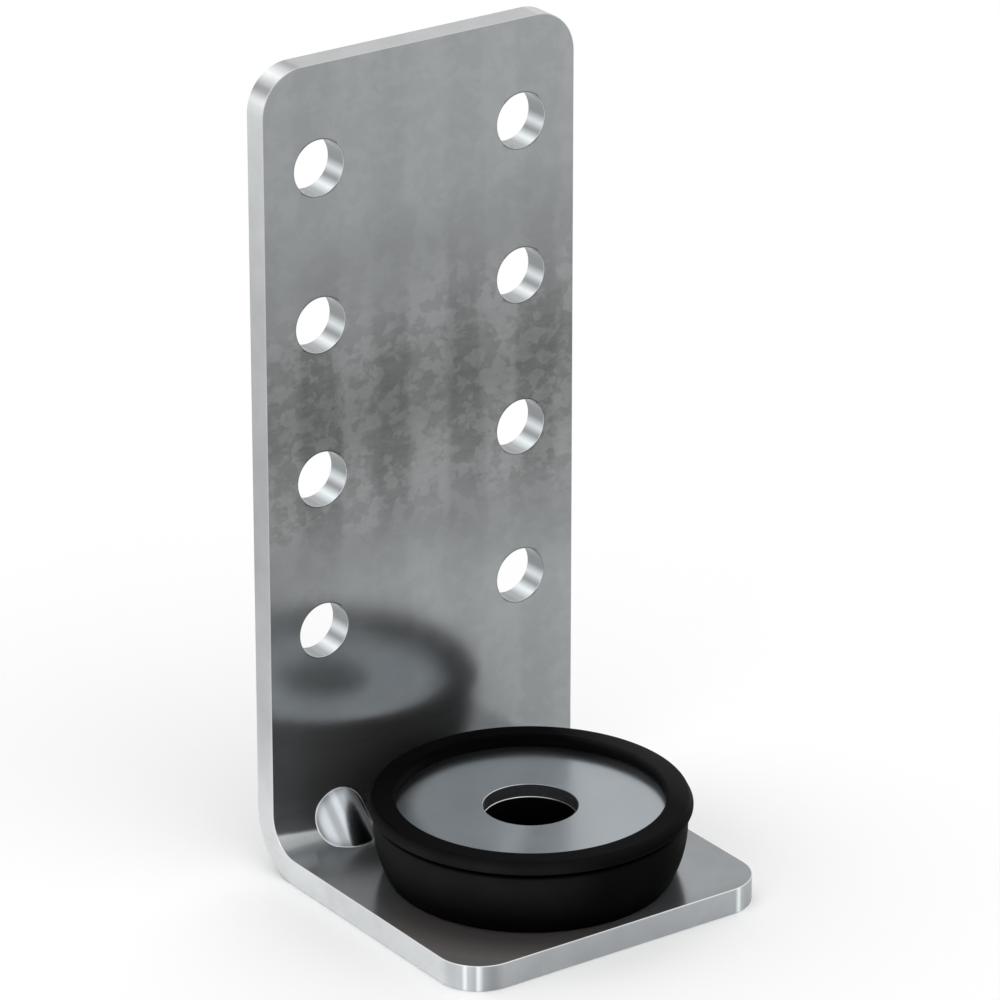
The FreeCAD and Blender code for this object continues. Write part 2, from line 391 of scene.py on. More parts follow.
all_points = []
all_normals = []
all_edge = [np.zeros((2 * blank_across.size, 3))]
all_away = [np.zeros((2 * blank_across.size, 3))]
all_shading_marks = [np.zeros((2 * blank_across.size, 3))]
for side in (1, -1):
    skin_across, skin_along = drawn_to_crease(blank_across, blank_along, side)
    all_points.append(sheet_skin(skin_across, skin_along, side).reshape(-1, 3))
    all_normals.append(skin_normals(skin_across, skin_along, side).reshape(-1, 3))
    if side > 0:
        # Painted shade along the crease and on the side to the rubber, and a painted highlight on it.
        reach = bar_reach(skin_across, skin_along, SHEET / 2, GUSSET_RADIUS, gusset_run).ravel()
        shade_by_crease = CREASE_SHADE * np.exp(-(reach / CREASE_SHADE_WIDTH) ** 2)
        inwards = GUSSET_PLACE - np.abs(skin_across.ravel()) - RUBBER_SIDE_START
        shade_to_rubber = RUBBER_SIDE_SHADE * (inwards / RUBBER_SIDE_WIDTH).clip(0, 1)
        crease_highlight = CREASE_HIGHLIGHT - CREASE_HIGHLIGHT_LOST_TO_SHADE * shade_to_rubber
        all_edge[0][:reach.size, 1] = crease_highlight * np.exp(-(reach / CREASE_HIGHLIGHT_WIDTH) ** 2)
        all_shading_marks[0][:reach.size, 0] = np.where(reach > 0, np.maximum(shade_by_crease, shade_to_rubber), 0)
        all_shading_marks[0][:reach.size, 2] = (reach / GUSSET_EDGE_WIDTH).clip(0, 1)

grid_numbers = np.arange(blank_across.size).reshape(blank_across.shape)
skin_faces = cells(grid_numbers)[metal]
all_faces = [skin_faces, skin_faces + blank_across.size]

loops = []
outline = ring_of(0, len(across_lines) - 1, 0, len(along_lines) - 1)
outline_points = np.stack([blank_across.ravel()[outline], blank_along.ravel()[outline]], axis=-1)
corner_middles = np.stack([
    outline_points[:, 0].clip(CORNER_RADIUS - HALF_WIDTH, HALF_WIDTH - CORNER_RADIUS),
    outline_points[:, 1].clip(CORNER_RADIUS, blank_length - CORNER_RADIUS),
], axis=-1)
loops.append((outline, unit(outline_points - corner_middles), EDGE_ROUND, 0.0))
for middle_x, middle_s, half_x, half_s, core, radius in holes:
    core_sides = middle_x + core * half_x * np.array([-1, 1]) - LINE_SLACK
    core_ends = middle_s + core * half_s * np.array([-1, 1]) - LINE_SLACK
    first, last = np.searchsorted(across_lines, core_sides)
    start, end = np.searchsorted(along_lines, core_ends)
    loop = ring_of(first, last, start, end)
    rim = np.stack([blank_across.ravel()[loop], blank_along.ravel()[loop]], axis=-1)
    loops.append((loop, unit(np.array([middle_x, middle_s]) - rim), HOLE_ROUND, 1.0))
    # A painted dark line of shade goes round each hole's rim.
    all_shading_marks[0][loop, 1] = 1

count = 2 * blank_across.size
for loop, away, rounding, in_hole in loops:
    points, normals, faces, edge, outward, shading_marks = edge_wall(loop, away, count, rounding, in_hole)
    all_points.append(points)
    all_normals.append(normals)
    all_faces.append(faces)
    all_edge.append(edge)
    all_away.append(outward)
    all_shading_marks.append(shading_marks)
    count += len(points)


def make_piece(name, points, normals, faces, marks=None):
    """Puts whole arrays into a mesh in metres. Points that no face uses are left out, a face that
    looks against its corners' normals is turned round, and the normals are kept for shading."""
    used, faces = np.unique(faces, return_inverse=True)
    faces = faces.reshape(-1, 4)
    points = points[used]
    normals = unit(normals[used])
    corners = points[faces]
    facing = np.cross(corners[:, 2] - corners[:, 0], corners[:, 3] - corners[:, 1])
    against = (facing * normals[faces].sum(axis=1)).sum(axis=1) < 0
    faces[against] = faces[against, ::-1]
    mesh = bpy.data.meshes.new(name)
    mesh.vertices.add(len(points))
    mesh.vertices.foreach_set("co", (points * MM).astype(np.float32).ravel())
    mesh.loops.add(faces.size)
    mesh.loops.foreach_set("vertex_index", faces.astype(np.int32).ravel())
    mesh.polygons.add(len(faces))
    mesh.polygons.foreach_set("loop_start", np.arange(0, faces.size, 4, dtype=np.int32))
    mesh.update(calc_edges=True)
    mesh.shade_smooth()
    mesh.normals_split_custom_set_from_vertices(normals.tolist())
    for mark, values in (marks or {}).items():
        attribute = mesh.attributes.new(mark, "FLOAT_VECTOR", "POINT")
        attribute.data.foreach_set("vector", values[used].astype(np.float32).ravel())
    piece = bpy.data.objects.new(name, mesh)
    bpy.context.scene.collection.objects.link(piece)
    return piece


def add_node(owner, kind, values=None, **settings):
    """Adds a node to a material, a world or a lamp, sets its properties, then gives each named
    socket a value or another node's output."""
    node = owner.node_tree.nodes.new(kind)
    for name, setting in settings.items():
        setattr(node, name, setting)
    for name, value in (values or {}).items():
        socket = node.inputs[name]
        if isinstance(value, bpy.types.NodeSocket):
            owner.node_tree.links.new(value, socket)
        else:
            socket.default_value = value
    return node


def feed(owner, source, socket):
    """Links an output to a socket."""
    owner.node_tree.links.new(source, socket)


def new_finish(name, **constants):
    """A material with its own shader, whose sockets of these names hold plain values."""
    material = bpy.data.materials.new(name)
    material.use_nodes = True
    shader = material.node_tree.nodes["Principled BSDF"]
    for socket, value in constants.items():
        shader.inputs[socket.replace("_", " ")].default_value = value
    return material, shader


def stretched(owner, scale):
    """Object coordinates in metres, each times its own scale."""
    place = add_node(owner, "ShaderNodeTexCoord").outputs["Object"]
    return add_node(owner, "ShaderNodeMapping", {"Vector": place, "Scale": scale}).outputs["Vector"]


def parts(owner, vector):
    """The three parts of a vector, called X, Y and Z."""
    return add_node(owner, "ShaderNodeSeparateXYZ", {"Vector": vector}).outputs


def from_axis(owner):
    """Distance from the rod's axis in millimetres: the length of the place without its height."""
    flat = stretched(owner, (1 / MM, 1 / MM, 0))
    return add_node(owner, "ShaderNodeVectorMath", {0: flat}, operation="LENGTH").outputs["Value"]


def marked(owner, name):
    """The vector that a mark on the mesh holds."""
    return add_node(owner, "ShaderNodeAttribute", attribute_name=name).outputs["Vector"]


def noise(owner, vector, scale, detail, roughness):
    """Cloudy noise, about a half on average."""
    return add_node(owner, "ShaderNodeTexNoise", {
        "Vector": vector, "Scale": scale, "Detail": detail, "Roughness": roughness,
    }).outputs["Fac"]


def spread(owner, value, span, target, smooth=False):
    """Carries the two ends of span over to the two of target, straight or smoothly between them
    and held beyond them."""
    return add_node(owner, "ShaderNodeMapRange", {
        "Value": value, "From Min": span[0], "From Max": span[1],
        "To Min": target[0], "To Max": target[1],
    }, interpolation_type="SMOOTHSTEP" if smooth else "LINEAR").outputs["Result"]


def combine(owner, operation, first, *others):
    """Values put together one after another by one operation."""
    for value in others:
        node = add_node(owner, "ShaderNodeMath", {0: first, 1: value}, operation=operation)
        first = node.outputs["Value"]
    return first


def absolute(owner, value):
    """A value without its sign."""
    return combine(owner, "ABSOLUTE", value, 0)


def blend_colours(owner, share, first, second):
    """Colour that goes from first to second as share goes from 0 to 1."""
    node = add_node(owner, "ShaderNodeMix", {0: share, 6: first, 7: second}, data_type="RGBA")
    return node.outputs[2]


def scaled(owner, colour, factor):
    """A colour times a factor."""
    node = add_node(owner, "ShaderNodeVectorMath", {0: colour, "Scale": factor}, operation="SCALE")
    return node.outputs["Vector"]


def level(shade):
    """Linear value of a shade on a screen's scale from 0 to 255, by the sRGB curve."""
    return ((shade / 255 + 0.055) / 1.055) ** 2.4


def grey(shade, tint=(1, 1, 1)):
    """Linear colour of a shade, with its red, green and blue weighed by the tint."""
    return (*(level(shade) * weight for weight in tint), 1)


def shade_ramp(owner, value, stops, tint=(1, 1, 1)):
    """Tinted grey that eases from stop to stop, each a value and the shade that it gives."""
    start, end = stops[0][0], stops[-1][0]
    ramp = add_node(owner, "ShaderNodeValToRGB", {"Fac": spread(owner, value, (start, end), (0, 1))})
    ramp.color_ramp.interpolation = "EASE"
    ramp.color_ramp.elements[0].color = grey(stops[0][1], tint)
    ramp.color_ramp.elements[1].color = grey(stops[-1][1], tint)
    for value_there, shade in stops[1:-1]:
        stop = ramp.color_ramp.elements.new((value_there - start) / (end - start))
        stop.color = grey(shade, tint)
    return ramp.outputs["Color"]


# Zinc has slow clouds, a fine grain, torn edges, upright strokes and wide upright columns, and the
# crystals of its spangle have shaken borders.
NOISE_SPAN = (0.3, 0.7)
BORDER_SHAKE = (1.8 * MM, 1.8 * MM, 1.8 * MM)

zinc, zinc_shader = new_finish("hot dip zinc", Specular_IOR_Level=0.15)
metres = stretched(zinc, (1, 1, 1))
place = parts(zinc, stretched(zinc, (1 / MM, 1 / MM, 1 / MM)))
clouds = noise(zinc, metres, scale=110, detail=3, roughness=0.5)
grain = noise(zinc, metres, scale=1500, detail=4, roughness=0.6)
torn = noise(zinc, stretched(zinc, (1, 1, 1.15)), scale=520, detail=8, roughness=0.68)
strokes = noise(zinc, stretched(zinc, (0.6, 1, 2.2)), scale=700, detail=5, roughness=0.6)
shaking = add_node(zinc, "ShaderNodeTexNoise", {
    "Vector": metres, "Scale": 900, "Detail": 4, "Roughness": 0.6,
}).outputs["Color"]
shaken = add_node(zinc, "ShaderNodeVectorMath", {
    0: shaking, 1: BORDER_SHAKE, 2: metres,
}, operation="MULTIPLY_ADD").outputs["Vector"]
crystals = add_node(zinc, "ShaderNodeTexVoronoi", {"Vector": shaken, "Scale": 620}).outputs["Color"]
spangle = add_node(zinc, "ShaderNodeSeparateColor", {"Color": crystals}).outputs["Red"]
waves = add_node(zinc, "ShaderNodeTexWave", {
    "Vector": stretched(zinc, (1, 1, 0.25)), "Scale": 33.0, "Distortion": 1.6, "Detail": 3.0,
    "Detail Scale": 9.0, "Phase Offset": 5.65,
}, bands_direction="X").outputs["Fac"]
columns = spread(zinc, waves, (0.2, 0.8), (0, 1), smooth=True)

# Half way up the leg, a darker and warmer band is painted in as a dark reflection. The zinc's
# upright columns and torn light flakes show most in that band. Its shades go by height in
# millimetres, which the clouds shift: the painted dark band, and a painted highlight low down at
# the bend. It is painted lighter to the right, as reflected light.
LEG_SHADES = [
    (3, 190), (9, 160), (18, 155), (26, 158), (38, 138), (52, 117), (66, 140), (78, 154), (92, 158),
]
LEG_TINT = (0.95, 1.0, 1.022)
DARK_BAND_TINT = (1.035, 1.0, 0.985)
DARK_BAND_BEGINS = (33, 44)
DARK_BAND_ENDS = (57, 69)
DARK_BAND_FLOOR = 0.22
SPANGLE_WEIGHT = 0.28
TORN_WEIGHT = 0.9
COLUMN_WEIGHT = -0.06
FLAKE_EDGE = (0.53, 0.63)
FLAKE_SHADE = (-0.10, 0.13)
COLUMN_SHADE = (0.08, -0.15)
STROKE_SHADE = (-0.07, 0.07)
GRAIN_SHADE = (-0.04, 0.04)

height = combine(zinc, "ADD", place["Z"], spread(zinc, clouds, NOISE_SPAN, (-2.5, 2.5)))
leg_tone = shade_ramp(zinc, height, LEG_SHADES, LEG_TINT)
# Painted reflected light: lighter to the right.
to_right = spread(zinc, place["X"], (-HALF_WIDTH, HALF_WIDTH), (0.95, 1.05))
leg_tone = scaled(zinc, leg_tone, to_right)
# The painted dark reflection band, in which the zinc's own pattern is strongest.
dark_band = combine(
    zinc, "MULTIPLY",
    spread(zinc, height, DARK_BAND_BEGINS, (DARK_BAND_FLOOR, 1), smooth=True),
    spread(zinc, height, DARK_BAND_ENDS, (1, DARK_BAND_FLOOR), smooth=True),
)
flakes = combine(
    zinc, "ADD",
    combine(zinc, "MULTIPLY", spangle, SPANGLE_WEIGHT),
    combine(zinc, "MULTIPLY", torn, TORN_WEIGHT),
    combine(zinc, "MULTIPLY", columns, COLUMN_WEIGHT),
)
pattern = combine(
    zinc, "ADD",
    spread(zinc, flakes, FLAKE_EDGE, FLAKE_SHADE),
    spread(zinc, columns, (0, 1), COLUMN_SHADE),
    spread(zinc, strokes, NOISE_SPAN, STROKE_SHADE),
    spread(zinc, grain, NOISE_SPAN, GRAIN_SHADE),
)
pattern = combine(zinc, "ADD", combine(zinc, "MULTIPLY", pattern, dark_band), 1.0)
leg_tone = scaled(zinc, leg_tone, pattern)
dark_band_tone = add_node(zinc, "ShaderNodeVectorMath", {
    0: leg_tone, 1: DARK_BAND_TINT,
}, operation="MULTIPLY").outputs["Vector"]
leg_tone = blend_colours(zinc, dark_band, leg_tone, dark_band_tone)

# The foot is plain and cloudy, up to where the bend leaves its upper face.
FOOT_SHADES = [(0.3, 141), (0.7, 157)]
FOOT_TINT = (0.95, 1.0, 1.035)
on_foot = spread(zinc, place["Z"], (SHEET + 0.1, SHEET + 1.5), (1, 0))
foot_tone = shade_ramp(zinc, clouds, FOOT_SHADES, FOOT_TINT)
tone = blend_colours(zinc, on_foot, leg_tone, foot_tone)

# Round the rubber the zinc is cleaner and more of a mirror. Further out on the foot it is dull. On
# the left, low on the leg and at the foot's front, the colour goes over to a warmer grey.
WARM_GREY = (level(155), level(151), level(149), 1)
LEG_MIRROR = (0.93, 0.83)
FOOT_MIRROR = (0.82, 0.64)
by_rubber = from_axis(zinc)
mirror = add_node(zinc, "ShaderNodeMix", {
    0: on_foot,
    2: spread(zinc, by_rubber, (20.5, 27), LEG_MIRROR),
    3: spread(zinc, by_rubber, (17.5, 22), FOOT_MIRROR),
}).outputs[0]
warmer_share = combine(
    zinc, "MULTIPLY",
    spread(zinc, by_rubber, (22, 27), (1, 0)),
    spread(zinc, place["X"], (-6, 4), (1, 0)),
    combine(
        zinc, "MAXIMUM",
        spread(zinc, place["Y"], (-2, 4), (1, 0)),
        spread(zinc, place["Y"], (19, 20), (0, 0.6)),
    ),
    spread(zinc, place["Z"], (14, 18), (1, 0)),
)
tone = blend_colours(zinc, warmer_share, tone, WARM_GREY)

# Cut edges are painted brighter than the skins, in bands of painted reflection that go round each
# curve. The shades go by the angle that the edge faces, from 0 at the left over 90 at the strip's
# end to 180 at the right, and on the straight long sides by height, as painted reflections too.
HOLE_REFLECTION_BANDS = [
    (-180, 160), (-120, 170), (-40, 140), (0, 150), (20, 225), (38, 160), (58, 245), (82, 178),
    (100, 150), (118, 155), (130, 225), (145, 160), (160, 215), (180, 160),
]
LEG_EDGE_REFLECTION_BANDS = [
    (0, 205), (20, 232), (36, 163), (58, 248), (84, 168), (96, 192), (108, 172), (125, 190),
    (142, 165), (160, 205), (180, 185),
]
FOOT_EDGE_REFLECTION_BANDS = [
    (0, 222), (20, 203), (33, 208), (38, 255), (42, 206), (50, 195), (54, 255), (62, 175), (72, 154),
    (92, 178), (99, 245), (104, 178), (115, 160), (145, 142), (180, 180),
]
LONG_SIDE_REFLECTION_SHADES = [(4, 224), (20, 187), (42, 170), (62, 180), (87, 203)]
HOLE_TINT = (0.95, 1.0, 1.025)
LEG_EDGE_TINT = (0.975, 1.0, 1.012)
FOOT_EDGE_TINT = (0.955, 1.0, 1.03)

edge = parts(zinc, marked(zinc, "cut_edge"))
shading_marks = parts(zinc, marked(zinc, "shading_marks"))
direction = marked(zinc, "edge_direction")
facing = parts(zinc, direction)
to_end = combine(zinc, "SUBTRACT", facing["Z"], facing["Y"])
to_left = combine(zinc, "MULTIPLY", facing["X"], -1.0)
facing_angle = combine(zinc, "DEGREES", combine(zinc, "ARCTAN2", to_end, to_left), 0)
hole_wall = shade_ramp(zinc, facing_angle, HOLE_REFLECTION_BANDS, HOLE_TINT)
leg_edge = shade_ramp(zinc, facing_angle, LEG_EDGE_REFLECTION_BANDS, LEG_EDGE_TINT)
foot_edge = shade_ramp(zinc, facing_angle, FOOT_EDGE_REFLECTION_BANDS, FOOT_EDGE_TINT)
long_side = shade_ramp(zinc, place["Z"], LONG_SIDE_REFLECTION_SHADES, LEG_EDGE_TINT)
cut = blend_colours(zinc, spread(zinc, place["Z"], (3.2, 8), (1, 0)), leg_edge, foot_edge)
straight = spread(zinc, absolute(zinc, to_end), (0, 0.05), (1, 0))
cut = blend_colours(zinc, straight, cut, long_side)
sheared = spread(zinc, shading_marks["Z"], (0, 1), (1.02, 1.0))
edge_clouds = noise(zinc, metres, scale=260, detail=4, roughness=0.6)
edge_clouds = spread(zinc, edge_clouds, NOISE_SPAN, (0.94, 1.06))
cut = scaled(zinc, cut, combine(zinc, "MULTIPLY", sheared, edge_clouds))
cut = blend_colours(zinc, edge["Z"], cut, hole_wall)
shear_lines = noise(zinc, direction, scale=7, detail=2, roughness=0.5)
cut = scaled(zinc, cut, spread(zinc, shear_lines, NOISE_SPAN, (0.96, 1.04)))

# A gusset is painted lighter, most along its crest, as painted highlight. Painted shade lies along
# its crease, on its side to the rubber and round each hole's rim, and every arris has a painted
# highlight, least high up on the leg.
GUSSET_HIGHLIGHT_TONE = (level(171), level(176), level(180))
CREST_HIGHLIGHT = 1.16
PAINTED_SHADE = (0.008, 0.009, 0.010, 1)
ARRIS_HIGHLIGHT = (0.80, 0.81, 0.82, 1)
HOLE_RIM_SHADE = 0.7
LOW_ARRIS_HIGHLIGHT = 0.85
HIGH_ARRIS_HIGHLIGHT = 0.35

# Painted highlight: the gusset lighter, most along its crest.
on_gusset = combine(zinc, "MULTIPLY", shading_marks["Z"], spread(zinc, edge["X"], (0, 0.1), (1, 0)))
crest = spread(zinc, absolute(zinc, place["X"]), (11.6, 13.4), (CREST_HIGHLIGHT, 1))
tone = blend_colours(zinc, on_gusset, tone, scaled(zinc, GUSSET_HIGHLIGHT_TONE, crest))
# Painted shade along the crease, on the side to the rubber and round the hole rims.
painted_shade = combine(zinc, "MAXIMUM", combine(zinc, "MULTIPLY", shading_marks["Y"], HOLE_RIM_SHADE), shading_marks["X"])
tone = blend_colours(zinc, painted_shade, tone, PAINTED_SHADE)
tone = blend_colours(zinc, edge["X"], tone, cut)
# Painted highlight on every arris, least high up on the leg.
up_the_leg = spread(zinc, place["Z"], (10, 24), (LOW_ARRIS_HIGHLIGHT, HIGH_ARRIS_HIGHLIGHT))
arris_highlight = combine(zinc, "MAXIMUM", edge["Z"], up_the_leg)
tone = blend_colours(zinc, combine(zinc, "MULTIPLY", edge["Y"], arris_highlight), tone, ARRIS_HIGHLIGHT)
feed(zinc, tone, zinc_shader.inputs["Base Color"])

# Edges that face between the strip's end and the right mirror less, because a mirror seen so flat
# turns white. The gussets mirror fully, and are a little rougher.
MIRROR_LOST = -0.7
SMOOTHEST = 0.15
ROUGHEST = 0.20
ROUGHER_ON_GUSSET = 0.04

turned_away = combine(
    zinc, "MULTIPLY",
    spread(zinc, facing_angle, (92, 108), (0, 1), smooth=True),
    spread(zinc, facing_angle, (160, 175), (1, 0), smooth=True),
    edge["X"],
)
mirror = combine(zinc, "MAXIMUM", mirror, on_gusset)
mirror = combine(zinc, "ADD", mirror, combine(zinc, "MULTIPLY", turned_away, MIRROR_LOST))
feed(zinc, mirror, zinc_shader.inputs["Metallic"])
roughness = combine(
    zinc, "ADD",
    spread(zinc, clouds, (0.35, 0.65), (SMOOTHEST, ROUGHEST)),
    combine(zinc, "MULTIPLY", on_gusset, ROUGHER_ON_GUSSET),
)
feed(zinc, roughness, zinc_shader.inputs["Roughness"])
relief = add_node(zinc, "ShaderNodeBump", {"Height": clouds, "Strength": 0.15, "Distance": 0.1 * MM})
feed(zinc, relief.outputs["Normal"], zinc_shader.inputs["Normal"])

bracket = make_piece(
    "angle_bracket",
    np.concatenate(all_points),
    np.concatenate(all_normals),
    np.concatenate(all_faces),
    {
        "cut_edge": np.concatenate(all_edge),
        "edge_direction": np.concatenate(all_away),
        "shading_marks": np.concatenate(all_shading_marks),
    },
)
bracket.data.materials.append(zinc)
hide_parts("bracket")
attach(bracket, "root")


# Rubber mount
# A black moulded rubber cushion that carries the hanging rod and keeps its noise out of the wall.
# Its neck is pushed through the foot's hole, and its lip holds the washer like a bezel.

ROD_BORE = 5.1
NECK_RADIUS = 8.0
BODY_FOOT_RADIUS = 15.45
BODY_RADIUS = 17.05
BODY_SHOULDER = 6.03
BODY_TOP = 10.35
BARREL_ROUND = 12.0
GROOVE_RADIUS = 16.3
LIP_RADIUS = 17.6
LIP_UNDERSIDE = 10.75
LIP_SHOULDER = 11.2
RIM_OUTER_RADIUS = 17.1
RIM_INNER_RADIUS = 14.7
RIM_TOP = 12.2
RIM_UNDERSIDE = 10.8
POCKET_RADIUS = 15.05
POCKET_FLOOR = 9.15
ARC_POINTS = 8
TURN_STEPS = 224


def rounded_section(corners):
    """Closed section through corners (radius, height, rounding). Each corner becomes an arc that
    leaves its two sides rounding times tan(half the turn) away from it. Going round the
    section anticlockwise, the outward normal lies to the right of the way."""
    table = np.array(corners)
    corner = table[:, :2]
    rounding = table[:, 2]
    come = unit(corner - np.roll(corner, 1, axis=0))
    go = np.roll(come, -1, axis=0)
    turn = np.arctan2(come[:, 0] * go[:, 1] - come[:, 1] * go[:, 0], (come * go).sum(axis=1))
    side = np.sign(turn)
    start = corner - come * (rounding * np.tan(np.abs(turn) / 2))[:, None]
    left = np.stack([-come[:, 1], come[:, 0]], axis=-1)
    middle = start + left * (side * rounding)[:, None]
    way = np.arctan2(come[:, 1], come[:, 0])[:, None]
    heading = way + turn[:, None] * np.linspace(0, 1, ARC_POINTS)
    right = np.stack([np.sin(heading), -np.cos(heading)], axis=-1)
    arcs = middle[:, None] + right * (side * rounding)[:, None, None]
    return arcs.reshape(-1, 2), right.reshape(-1, 2)


def carried_round(flat):
    """Points (radius, height) carried round the rod's axis: at angle a a point of radius r stands
    at r cos a across and r sin a along, at its own height."""
    angle = np.linspace(0, 2 * math.pi, TURN_STEPS, endpoint=False)[:, None]
    across = flat[:, 0] * np.cos(angle)
    along = flat[:, 0] * np.sin(angle)
    return np.stack([across, along, flat[:, 1] + 0 * across], axis=-1).reshape(-1, 3)


def turned(section, normals):
    """The section and its normals carried round the rod's axis, with a face between each two
    neighbours at each two neighbouring angles."""
    numbers = np.arange(TURN_STEPS * len(section)).reshape(TURN_STEPS, len(section))
    numbers = np.concatenate([numbers, numbers[:1]])
    numbers = np.concatenate([numbers, numbers[:, :1]], axis=1)
    return carried_round(section), carried_round(normals), cells(numbers).reshape(-1, 4)


rubber_points, rubber_normals, rubber_faces = turned(*rounded_section([
    (ROD_BORE, POCKET_FLOOR, 0.2),
    (ROD_BORE, 0.0, 0.2),
    (NECK_RADIUS, 0.0, 0.2),
    (NECK_RADIUS, SHEET, 0.05),
    (BODY_FOOT_RADIUS, SHEET, 0.35),
    (BODY_RADIUS, BODY_SHOULDER, BARREL_ROUND),
    (BODY_RADIUS, BODY_TOP, 0.25),
    (GROOVE_RADIUS, BODY_TOP, 0.1),
    (GROOVE_RADIUS, LIP_UNDERSIDE, 0.1),
    (LIP_RADIUS, LIP_UNDERSIDE, 0.3),
    (LIP_RADIUS, LIP_SHOULDER, 0.4),
    (RIM_OUTER_RADIUS, RIM_TOP, 0.35),
    (RIM_INNER_RADIUS, RIM_TOP, 0.35),
    (RIM_INNER_RADIUS, RIM_UNDERSIDE, 0.2),
    (POCKET_RADIUS, RIM_UNDERSIDE, 0.05),
    (POCKET_RADIUS, POCKET_FLOOR, 0.05),
]))

# The side is painted lighter at the left and right and darkest between, and the rim's top lighter
# at the front, dark at the back and brightest at its right end, as painted light. The side is
# painted blacker towards the foot and in the groove, as painted shade. Dust noise varies the tone.
# Places are in millimetres.
SIDE_SHADES = [(-17.5, 30), (-9, 25), (-1, 10), (6, 6), (12, 14), (17.5, 24)]
RIM_SHADES = [(-17, 18), (-8, 17), (4, 12), (14, 4), (17.5, 3)]
RIM_END_HIGHLIGHT = 43

rubber, rubber_shader = new_finish("black moulded rubber", Specular_IOR_Level=0.01)
on_rubber = stretched(rubber, (1, 1, 1))
rubber_grain = noise(rubber, on_rubber, scale=1800, detail=4, roughness=0.6)
dust = noise(rubber, on_rubber, scale=160, detail=5, roughness=0.6)
spot = parts(rubber, stretched(rubber, (1 / MM, 1 / MM, 1 / MM)))
side_tone = shade_ramp(rubber, spot["X"], SIDE_SHADES)
# Painted shade: darker towards the foot.
side_tone = scaled(rubber, side_tone, spread(rubber, spot["Z"], (4.5, 9), (0.15, 1)))
# Painted shade in the groove under the lip.
clear_of_groove = combine(
    rubber, "MAXIMUM",
    spread(rubber, spot["Z"], (BODY_TOP - 0.4, BODY_TOP - 0.1), (1, 0.15)),
    spread(rubber, spot["Z"], (LIP_UNDERSIDE - 0.05, LIP_UNDERSIDE + 0.15), (0, 1)),
)
side_tone = scaled(rubber, side_tone, clear_of_groove)
rim_tone = shade_ramp(rubber, spot["Y"], RIM_SHADES)
# Painted highlight at the rim's right end.
to_rim_end = spread(rubber, spot["X"], (11, 17.3), (0, 1))
rim_tone = blend_colours(rubber, to_rim_end, rim_tone, grey(RIM_END_HIGHLIGHT))
on_rim = spread(rubber, spot["Z"], (RIM_TOP - 0.8, RIM_TOP - 0.1), (0, 1))
rubber_tone = blend_colours(rubber, on_rim, side_tone, rim_tone)
rubber_tone = scaled(rubber, rubber_tone, spread(rubber, dust, NOISE_SPAN, (0.8, 1.2)))
feed(rubber, rubber_tone, rubber_shader.inputs["Base Color"])
feed(rubber, spread(rubber, dust, NOISE_SPAN, (0.45, 0.6)), rubber_shader.inputs["Roughness"])
moulded = add_node(rubber, "ShaderNodeBump", {
    "Height": rubber_grain, "Strength": 0.2, "Distance": 0.03 * MM,
})
feed(rubber, moulded.outputs["Normal"], rubber_shader.inputs["Normal"])

mount = make_piece("rubber_cushion", rubber_points, rubber_normals, rubber_faces)
mount.data.materials.append(rubber)
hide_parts("rubber_mount")
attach(mount, "root")


# Washer
# A bright zinc plated steel ring, stamped from sheet, that spreads the rod nut's load on the
# rubber. It is snapped in under the rim of the rubber.

WASHER_RADIUS = 15.0
WASHER_TOP = 10.75
PUNCHED_BORE = ROD_BORE + 0.06
BREAK_TOP = POCKET_FLOOR + 0.11
BREAK_BOTTOM = POCKET_FLOOR + 0.06

# The punch leaves the bore a hair wider than the break at its lower end.
washer_section, washer_section_normals = rounded_section([
    (PUNCHED_BORE, WASHER_TOP, 0.08),
    (PUNCHED_BORE, BREAK_TOP, 0.01),
    (ROD_BORE, BREAK_BOTTOM, 0.01),
    (ROD_BORE, POCKET_FLOOR, 0.02),
    (WASHER_RADIUS, POCKET_FLOOR, 0.15),
    (WASHER_RADIUS, WASHER_TOP, 0.15),
])
washer_points, washer_normals, washer_faces = turned(washer_section, washer_section_normals)

# The mark tells the bore's upper arris, its whole wall, and the break in that wall.
break_start = 2 * ARC_POINTS - 1
break_end = 2 * ARC_POINTS + 1
bore_mark = np.zeros((len(washer_section), 3))
bore_mark[:ARC_POINTS, 0] = np.sin(np.linspace(0, math.pi, ARC_POINTS))
bore_mark[ARC_POINTS - 1:break_end, 1] = 1
bore_mark[break_start:break_end, 2] = 1

# The plating is cloudy. A painted shade, and a painted reflection of the rubber's rim, darken it
# under the rim at the back, and it is painted darker in the bore, as shade. The bore's upper
# arris has a painted highlight on the left, and the break has one at the back.
DULL_PLATING = (0.328, 0.358, 0.384, 1)
CLEAN_PLATING = (0.365, 0.398, 0.422, 1)
BORE_WALL = (0.24, 0.25, 0.26, 1)
BORE_HIGHLIGHT = (0.85, 0.86, 0.87, 1)

plating, plating_shader = new_finish("bright zinc plating", Metallic=0.86)
plating_clouds = noise(plating, stretched(plating, (1, 1, 1)), scale=120, detail=5, roughness=0.6)
clean = spread(plating, plating_clouds, NOISE_SPAN, (0, 1))
plating_tone = blend_colours(plating, clean, DULL_PLATING, CLEAN_PLATING)
ring = parts(plating, stretched(plating, (1 / MM, 1 / MM, 0)))
# Painted shade and reflection of the rim, at the back.
painted_rim_shade = combine(
    plating, "MULTIPLY",
    spread(plating, from_axis(plating), (11.8, 14.2), (0, 0.78), smooth=True),
    spread(plating, ring["Y"], (-4, 7), (0, 1)),
)
plating_tone = scaled(plating, plating_tone, combine(plating, "SUBTRACT", 1.0, painted_rim_shade))
bore = parts(plating, marked(plating, "bore_mark"))
# Painted shade in the bore.
plating_tone = blend_colours(plating, bore["Y"], plating_tone, BORE_WALL)
